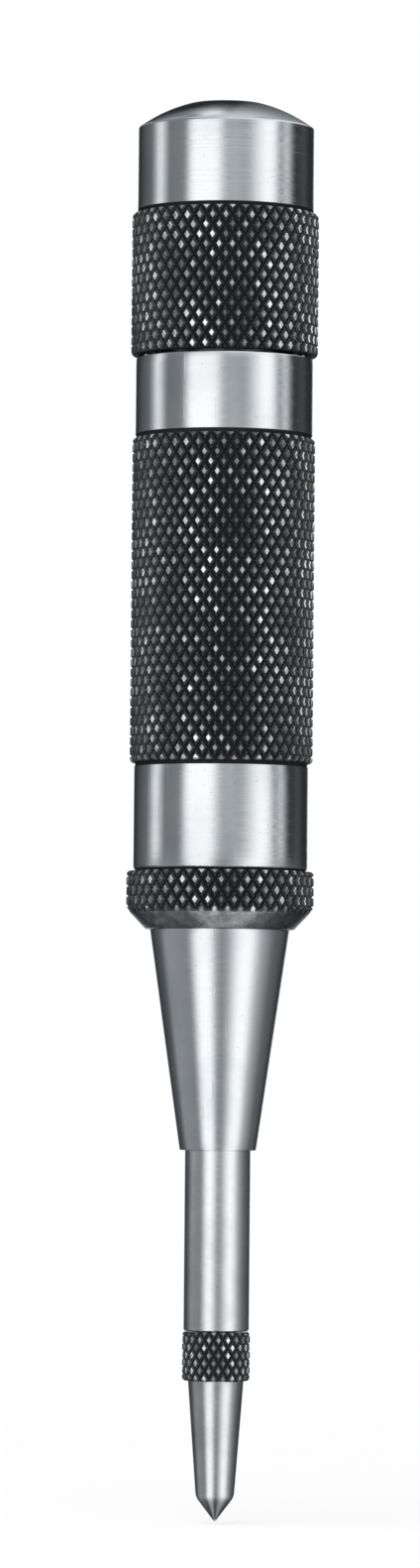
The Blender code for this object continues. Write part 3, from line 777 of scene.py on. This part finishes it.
# %% Make the point
POINT_LENGTH = 12.9 * MM
POINT_ROOT_RADIUS = 2.55 * MM
POINT_END_RADIUS = 1.75 * MM
POINT_EDGE = 0.45 * MM
POINT_STEP = 0.3 * MM
TIP_ANGLE = math.radians(75)
TIP_SHARE = 0.03  # of the tip's height, where the last ring lies and the fan begins
STUD_EDGE = 0.2 * MM
STUD_STEP = 0.6 * MM
COLLAR_DEPTH = 0.25 * MM
COLLAR_SINK = 0.03 * MM
COLLAR_KNURL = (21, 1.4 * MM, COLLAR_DEPTH, KNURL_CHAMFER)
tip_height = POINT_END_RADIUS / math.tan(TIP_ANGLE / 2)
collar_top = plunger_low - SNUG
collar_low = point_low + POINT_LENGTH
collar_rim = collar_crest - COLLAR_DEPTH - COLLAR_SINK
stud = [(AXIS, point_high), (STUD_RADIUS, point_high), (STUD_RADIUS, collar_top), (collar_rim, collar_top)]
taper = [
    (collar_rim, collar_low),
    (POINT_ROOT_RADIUS, collar_low),
    (POINT_END_RADIUS, point_low + tip_height),
    (TIP_SHARE * POINT_END_RADIUS, point_low + TIP_SHARE * tip_height),
]
point = knurled_piece(
    "hard_point",
    broken(stud, STUD_EDGE, step=STUD_STEP),
    collar_crest,
    collar_top,
    collar_low,
    broken(taper, POINT_EDGE, rows=7, step=POINT_STEP),
    COLLAR_KNURL,
    looped=False,
    tip=point_low,
)
dress(point, point_finish, "plunger", "hardened_steel", "punch_point")

# %% [markdown]
# ## Springs and screw threads
# Both are a section carried along a helix: a circle for the wire of a spring, a trapezoid for the ridge of a
# thread. A thread could also be cut into the turned grid above, but its slant crosses every ring and comes
# out jagged, so the ridge is a piece of its own, sunk a little into the metal that carries it.

# %% Carry a section along a path
def swept(name, sections):
    """A closed mesh through one section after another, with a fan over the first and the last."""
    count, sides = sections.shape[:2]
    index = np.arange(count * sides).reshape(count, sides)
    right = np.roll(index, -1, axis=1)
    walls = np.stack([index[:-1], right[:-1], right[1:], index[1:]], -1).reshape(-1, 4)
    hub = np.full(sides, count * sides)
    first_fan = np.stack([hub, right[0], index[0]], -1)
    last_fan = np.stack([hub + 1, index[-1], right[-1]], -1)
    verts = np.vstack([sections.reshape(-1, 3), sections[0].mean(axis=0), sections[-1].mean(axis=0)])
    mesh = bpy.data.meshes.new(name)
    mesh.from_pydata(verts.tolist(), [], walls.tolist() + first_fan.tolist() + last_fan.tolist())
    return place_mesh(name, mesh)


# %% Make the screw ridges
TURN_STEPS = 96
SUNK = 0.1 * MM
RUN_OUT = 0.5  # turns
END_SHARE = 0.05  # of the ridge's height, left standing at its very ends


def ridge(name, root, crest, start):
    """A trapezoid carried along a right-handed helix; root and crest are each (radius, width).

    At turn s its middle is at angle 2 pi s and height start + pitch * s. Over the first and the last half
    turn the crest sinks back to the root, so that the ridge runs out as a cut thread does.
    """
    s = np.linspace(0, thread_turns, thread_turns * TURN_STEPS + 1)[:, None]
    grow = np.clip(np.minimum(s, thread_turns - s) / RUN_OUT, END_SHARE, 1)
    foot = np.full_like(s, root[0])
    edge = foot + (crest[0] - root[0]) * grow
    radius = np.hstack([edge, edge, foot, foot])
    offset = np.array([crest[1], -crest[1], -root[1], root[1]]) / 2
    if crest[0] < root[0]:
        radius, offset = radius[:, ::-1], offset[::-1]
    a = 2 * math.pi * s
    height = start + THREAD_PITCH * s + offset
    return swept(name, np.stack([radius * np.cos(a), radius * np.sin(a), height], -1))


neck_thread = ridge(
    "neck_thread",
    (thread_core - SUNK, THREAD_ROOT),
    (thread_core + THREAD_DEPTH, THREAD_CREST),
    thread_start,
)
cap_thread = ridge(
    "cap_thread",
    (thread_bore + SUNK, THREAD_ROOT),
    (cap_bore, THREAD_CREST),
    thread_start + THREAD_PITCH / 2,
)
dress(neck_thread, barrel_finish, "barrel", "knurled_steel")
dress(cap_thread, cap_finish, "cap", "knurled_steel")

# %% Wind a spring
WIRE_SIDES = 14
COIL_STEPS = 48
CLOSE_GAP = 0.45 * MM


def coil(radius, wire, turns, length, start, lying=False):
    """The sections of a tube of the wire's thickness along a helix of the given radius.

    A point on the path is at angle 2 pi s, and its height rises by wire + CLOSE_GAP a turn in the first and
    last turn and evenly between. The tube's circle lies in the plane of the outward direction and the
    direction that is square to it and to the path. The helix rises along z, or along x if it is lying.
    """
    s = np.linspace(0, turns, int(turns * COIL_STEPS) + 1)
    close = wire + CLOSE_GAP
    opened = np.clip(s - 1, 0, turns - 2)
    rise = wire / 2 + close * (s - opened) + (length - wire - 2 * close) / (turns - 2) * opened
    a = 2 * math.pi * s
    path = np.stack([radius * np.cos(a), radius * np.sin(a), rise], -1)
    tangent = np.gradient(path, axis=0)
    tangent /= np.linalg.norm(tangent, axis=1)[:, None]
    outward = np.stack([np.cos(a), np.sin(a), np.zeros_like(a)], -1)
    outward -= tangent * np.sum(outward * tangent, axis=1)[:, None]
    outward /= np.linalg.norm(outward, axis=1)[:, None]
    upward = np.cross(tangent, outward)
    b = np.linspace(0, 2 * math.pi, WIRE_SIDES, endpoint=False)[None, :, None]
    tube = path[:, None] + wire / 2 * (np.cos(b) * outward[:, None] + np.sin(b) * upward[:, None])
    if lying:
        tube = tube[..., [2, 1, 0]] * (1, 1, -1)
    return tube + np.array(start)


# %% [markdown]
# A spring could ride on one body, but its other end would then be left behind. For the return spring, whose
# fixed end is the washer, and the latch spring, whose fixed end is the blind end of its bore, the share of
# its length that the travel leaves it is worked out. The hammer spring has two moving ends, the hammer below
# and the seat above, so it is cut at a waist into two meshes, the part under it and the part over it. The
# share is worked out for the part under it, and the height of the waist is kept.

# %% Make the hammer spring
DRIVING_WIRE = 1.2 * MM
DRIVING_TURNS = 9
DRIVING_MARGIN = 0.9 * MM  # from the bore's wall to the middle of the wire
WAIST_SHARE = 0.62
low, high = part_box("hammer_spring")
length = high[2] - low[2]
driving = coil(main_bore - DRIVING_MARGIN, DRIVING_WIRE, DRIVING_TURNS, length, (0, 0, low[2]))
cut = int(WAIST_SHARE * len(driving))
waist = driving[cut, :, 2].mean()
driving_spring = swept("driving_spring", driving[: cut + 1])
dress(driving_spring, wire_finish, "barrel", "spring_steel", "hammer_spring")
keep = 1 - PLUNGER_TRAVEL / (waist - low[2])
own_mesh(driving_spring)

spring_head = swept("spring_head", driving[cut:])
spring_head.data.materials.append(wire_finish)
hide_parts("hammer_spring")
still = waist + DRIVING_WIRE / 2
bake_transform(spring_head)

# %% Make the two small springs
RETURN_WIRE = 0.7 * MM
RETURN_TURNS = 8
low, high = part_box("plunger_spring")
length = high[2] - low[2]
return_radius = (ANVIL_RADIUS + flange_bore) / 2
returning = coil(return_radius, RETURN_WIRE, RETURN_TURNS, length, (0, 0, low[2]))
return_spring = swept("return_spring", returning)
dress(return_spring, wire_finish, "barrel", "spring_steel", "plunger_spring")
keep = 1 - PLUNGER_TRAVEL / length
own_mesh(return_spring)

SMALL_RADIUS = 0.75 * MM
SMALL_WIRE = 0.3 * MM
SMALL_TURNS = 3.5
low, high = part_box("latch_spring")
length = high[0] - low[0]
blind_end = (low[0], 0, latch_level)
latching = coil(SMALL_RADIUS, SMALL_WIRE, SMALL_TURNS, length, blind_end, lying=True)
small_spring = swept("small_spring", latching)
dress(small_spring, wire_finish, "hammer", "spring_steel", "latch_spring")
keep = 1 - LATCH_TRAVEL / length
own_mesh(small_spring)

# %% [markdown]
# ## The studio
# Polished metal has hardly any colour of its own: it shows what stands round it. So the tool stands inside a
# round wall that only reflections see, white where a softbox would be and grey or black between. Separate
# area lamps could do the same, but their edges would show as hard lines on the cylinder, and the wall fades
# softly from one panel to the next. Around it everything is white, and one wide lamp overhead lights the
# pale floor.

# %% The panels
# Pairs of angle and level: degrees from the camera's side, positive to its right, with 1 as white.
HIGH_PANELS = (
    ((-180, 1.00), (-166, 1.00), (-161, 0.08), (-150, 0.06), (-132, 0.13), (-112, 0.20), (-104, 0.50))
    + ((-97, 0.98), (-91, 0.98), (-85, 0.60), (-78, 0.24), (-64, 0.25), (-53, 0.30), (-47, 1.00))
    + ((-44, 1.38), (-11, 1.38), (-6, 0.90), (0, 0.50), (12, 0.58), (22, 0.46), (29, 0.52))
    + ((37, 0.85), (46, 1.20), (53, 1.36), (61, 1.36), (67, 1.05), (73, 0.32), (77, 0.32))
    + ((81, 0.80), (86, 0.85), (91, 0.38), (97, 0.06), (104, 0.045), (110, 0.07), (122, 0.10))
    + ((136, 0.04), (161, 0.06), (166, 1.00), (180, 1.00))
)
LOW_PANELS = (
    ((-180, 1.00), (-166, 1.00), (-161, 0.10), (-150, 0.08), (-120, 0.14), (-104, 0.36), (-80, 0.34))
    + ((-56, 0.30), (-49, 0.55), (-43, 1.15), (-38, 1.38), (-15, 1.38), (-9, 0.60), (0, 0.34))
    + ((8, 0.34), (16, 0.50), (25, 0.90), (33, 1.25), (40, 1.38), (54, 1.38), (61, 1.15))
    + ((69, 0.70), (80, 0.45), (92, 0.30), (105, 0.16), (122, 0.14), (150, 0.06), (161, 0.08))
    + ((166, 1.00), (180, 1.00))
)
TOP_PANELS = (
    ((-180, 0.00), (-169, 0.00), (-161, 0.25), (-150, 0.64), (-125, 0.35), (-45, 0.35), (-20, 0.80))
    + ((10, 1.20), (60, 1.30), (120, 1.20), (140, 1.00), (158, 0.60), (168, 0.35), (173, 0.22))
    + ((177, 0.00), (180, 0.00))
)
BACK_PANELS = (
    ((-180, 0.62), (-177, 1.00), (-174, 1.40), (-167, 1.40), (-163, 0.90), (-160, 0.20), (-150, 0.00))
    + ((150, 0.00), (160, 0.50), (172, 0.60), (180, 0.62))
)
SHADE_TINT = np.array([0.93, 0.995, 1.045])  # the darker panels are slightly blue, the bright ones white
WALL_STEPS = 720
WALL_SIDE = 0.14
WALL_CORNER = 0.13
WALL_FOOT = 0.00005
WALL_TOP = 0.40
WALL = (
    # distance from the axis, height, and the shares of the low, high, top and back panels and of plain white
    # The first two rows are a painted shadow: the wall's floor is darker round the tip, where the tool would
    # shade the floor.
    (0.0002, WALL_FOOT, 0.25, 0.0, 0.0, 0.0, 0.0),
    (0.0015, WALL_FOOT, 0.3, 0.0, 0.0, 0.0, 0.0),
    (0.005, WALL_FOOT, 1.0, 0.0, 0.0, 0.0, 0.0),
    (WALL_CORNER, WALL_FOOT, 1.0, 0.0, 0.0, 0.0, 0.0),
    (WALL_SIDE, 0.01, 1.0, 0.0, 0.0, 0.0, 0.0),
    (WALL_SIDE, 0.045, 1.0, 0.0, 0.0, 0.0, 0.0),
    (WALL_SIDE, 0.06, 0.0, 1.0, 0.0, 0.0, 0.0),
    (WALL_SIDE, 0.155, 0.0, 1.0, 0.0, 0.0, 0.0),
    (WALL_SIDE, 0.17, 0.0, 0.0, 0.8, 0.0, 0.05),
    (WALL_SIDE, 0.235, 0.0, 0.0, 0.8, 0.0, 0.03),
    (WALL_SIDE, 0.26, 0.0, 0.0, 0.8, 0.10, 0.04),
    (WALL_SIDE, 0.30, 0.0, 0.0, 0.8, 0.42, 0.03),
    (WALL_SIDE, 0.34, 0.0, 0.0, 0.7, 0.85, 0.0),
    (WALL_SIDE, 0.37, 0.0, 0.0, 0.5, 1.0, 0.1),
    (WALL_SIDE, 0.39, 0.0, 0.0, 0.0, 0.0, 0.85),
    (WALL_CORNER, WALL_TOP, 0.0, 0.0, 0.0, 0.0, 0.85),
    (0.005, WALL_TOP, 0.0, 0.0, 0.0, 0.0, 0.85),
)
print(f"{len(HIGH_PANELS)} panels above the nose, {len(LOW_PANELS)} below")


# %% The wall that only reflections see
def light_wall():
    """A profile carried round, x = r sin a and y = -r cos a: over the floor, up the wall and in overhead.

    The level at an angle is read off the lines through the pairs above: the low ones as far as the nose,
    then the high ones, then over the tool a screen that is brighter on the right and open at the back, where
    the dome looks through it, and white overhead.
    """
    profile = np.array(WALL)
    turn = np.linspace(-180, 180, WALL_STEPS, endpoint=False)
    tables = (LOW_PANELS, HIGH_PANELS, TOP_PANELS, BACK_PANELS, ((0, 1.0),))
    level = profile[:, 2:] @ np.stack([np.interp(turn, *np.array(pairs).T) for pairs in tables])
    a = np.radians(turn)
    flat = profile[:, None, :1] * np.stack([np.sin(a), -np.cos(a)], -1)
    points = np.concatenate([flat, np.repeat(profile[:, None, 1:2], len(turn), axis=1)], axis=2)
    index = np.arange(level.size).reshape(level.shape)
    side = np.roll(index, -1, axis=1)
    faces = np.stack([index[:-1], side[:-1], side[1:], index[1:]], -1).reshape(-1, 4)
    mesh = bpy.data.meshes.new("light_wall")
    mesh.from_pydata(points.reshape(-1, 3).tolist(), [], faces.tolist())
    level = level.reshape(-1, 1)
    tinted = level * (1 + (1 - level / level.max()) * (SHADE_TINT - 1))
    colours = np.column_stack([tinted, np.ones(len(tinted))]).astype(np.float32)
    mesh.attributes.new("level", "FLOAT_COLOR", "POINT").data.foreach_set("color", colours.ravel())
    print(f"light wall: {len(faces)} faces, mean level {level.mean():.2f}")
    return mesh


wall_mesh = light_wall()
wall_paint = bpy.data.materials.new("light_wall")
wire = blank(wall_paint)
level = wire.node("ShaderNodeAttribute", {"attribute_name": "level"}, output="Color")
glow = wire.node("ShaderNodeEmission", inputs={"Color": level})
wire.node("ShaderNodeOutputMaterial", inputs={"Surface": glow})
wall_mesh.materials.append(wall_paint)
wall = bpy.data.objects.new("light_wall", wall_mesh)
bpy.context.scene.collection.objects.link(wall)
wall.visible_camera = wall.visible_diffuse = wall.visible_shadow = False


# %% The floor
def seen_directly(wire):
    """1 for camera, glossy and transmission rays, and 0 for the light that surfaces receive."""
    camera = wire.node("ShaderNodeLightPath", output="Is Camera Ray")
    glossy = wire.node("ShaderNodeLightPath", output="Is Glossy Ray")
    through = wire.node("ShaderNodeLightPath", output="Is Transmission Ray")
    return (camera + glossy + through).clamped()


FLOOR_HALF = 1.5
FLOOR_DROP = 0.2 * MM
FLOOR_GREY = (0.9, 0.9, 0.9, 1)
NEAR_WHITE = 0.8  # share of plain white by the tool; it grows to 1 over the distances below
NEAR, FAR = 0.05, 0.4
floor_mesh = bpy.data.meshes.new("floor")
corners = np.array([(-1, -1, 0), (1, -1, 0), (1, 1, 0), (-1, 1, 0)]) * FLOOR_HALF - (0, 0, FLOOR_DROP)
floor_mesh.from_pydata(corners.tolist(), [], [(0, 1, 2, 3)])
floor_paint = bpy.data.materials.new("floor_paint")
wire = blank(floor_paint)
paint = wire.node("ShaderNodeBsdfDiffuse", inputs={"Color": FLOOR_GREY})
white = wire.node("ShaderNodeEmission", inputs={"Color": (1, 1, 1, 1)})
floor_place = wire.node("ShaderNodeTexCoord", output="Object")
from_tool = wire.node("ShaderNodeVectorMath", {"operation": "LENGTH"}, {0: floor_place}, "Value")
fade = seen_directly(wire) * (NEAR_WHITE + from_tool.above(NEAR, FAR) * (1 - NEAR_WHITE))
mixed = wire.node("ShaderNodeMixShader", inputs={0: fade, 1: paint, 2: white})
wire.node("ShaderNodeOutputMaterial", inputs={"Surface": mixed})
floor_mesh.materials.append(floor_paint)
floor = bpy.data.objects.new("floor", floor_mesh)
bpy.context.scene.collection.objects.link(floor)
print(f"floor: {2 * FLOOR_HALF:.0f} m wide")

# %% The white room and the lamp
ROOM_LIGHT = 0.6  # what surfaces receive from the room, which looks plain white
LAMP_SIZE = 0.8
LAMP_POWER = 8.0
LAMP_PLACE = (-0.25, -0.35, 1.1)
LAMP_AIM = (0, 0, 0.06)
world = bpy.data.worlds.new("white_room")
bpy.context.scene.world = world
wire = blank(world)
strength = ROOM_LIGHT + seen_directly(wire) * (1 - ROOM_LIGHT)
surround = wire.node("ShaderNodeBackground", inputs={"Color": (1, 1, 1, 1), "Strength": strength})
wire.node("ShaderNodeOutputWorld", inputs={"Surface": surround})

lamp_data = bpy.data.lights.new("overhead", "AREA")
lamp_data.shape = "DISK"
lamp_data.size = LAMP_SIZE
lamp_data.energy = LAMP_POWER
lamp = bpy.data.objects.new("overhead", lamp_data)
lamp.location = LAMP_PLACE
lamp.rotation_mode = "QUATERNION"
lamp.rotation_quaternion = (Vector(LAMP_AIM) - lamp.location).to_track_quat("-Z", "Y")
bpy.context.scene.collection.objects.link(lamp)
print(f"lamp: {lamp_data.energy} W")

# %% [markdown]
# ## The camera
# A camera far away would show every ring of the tool as a straight line, but they curve upwards more and
# more towards the cap. So it stands level with the nose, about 0.64 m away, and looks slightly up. The tool
# leans half a degree to the right in the picture.

# %% Camera
PHOTO_SIZE = (424, 1582)
TIP_PIXEL = (216.5, 1533)
PIXELS_PER_MM = 11.0
CAMERA_DISTANCE = 0.64
CAMERA_HEIGHT = 0.040
LEAN = math.radians(0.5)
# The picture's centre lies a known number of pixels from the tip, along axes that lean with the tool.
across = (PHOTO_SIZE[0] / 2 - TIP_PIXEL[0]) / PIXELS_PER_MM * MM
up = (TIP_PIXEL[1] - PHOTO_SIZE[1] / 2) / PIXELS_PER_MM * MM
aim = Vector((across - up * math.sin(LEAN), 0, up * math.cos(LEAN) + across * math.sin(LEAN)))
camera_data = bpy.data.cameras.new("camera")
camera = bpy.data.objects.new("camera", camera_data)
camera.location = (aim.x, -CAMERA_DISTANCE, CAMERA_HEIGHT)
look = aim - camera.location
camera.rotation_mode = "QUATERNION"
camera.rotation_quaternion = look.to_track_quat("-Z", "Y") @ Quaternion((0, 0, 1), LEAN)
picture_height = PHOTO_SIZE[1] / PIXELS_PER_MM * MM
camera_data.lens = camera_data.sensor_width * look.length / picture_height
camera_data.clip_start = 0.01
bpy.context.scene.collection.objects.link(camera)
bpy.context.scene.camera = camera
print(f"lens {camera_data.lens:.1f} mm, aim {aim.z / MM:.1f} mm up")

# %% Colour
bpy.context.scene.view_settings.view_transform = "Standard"
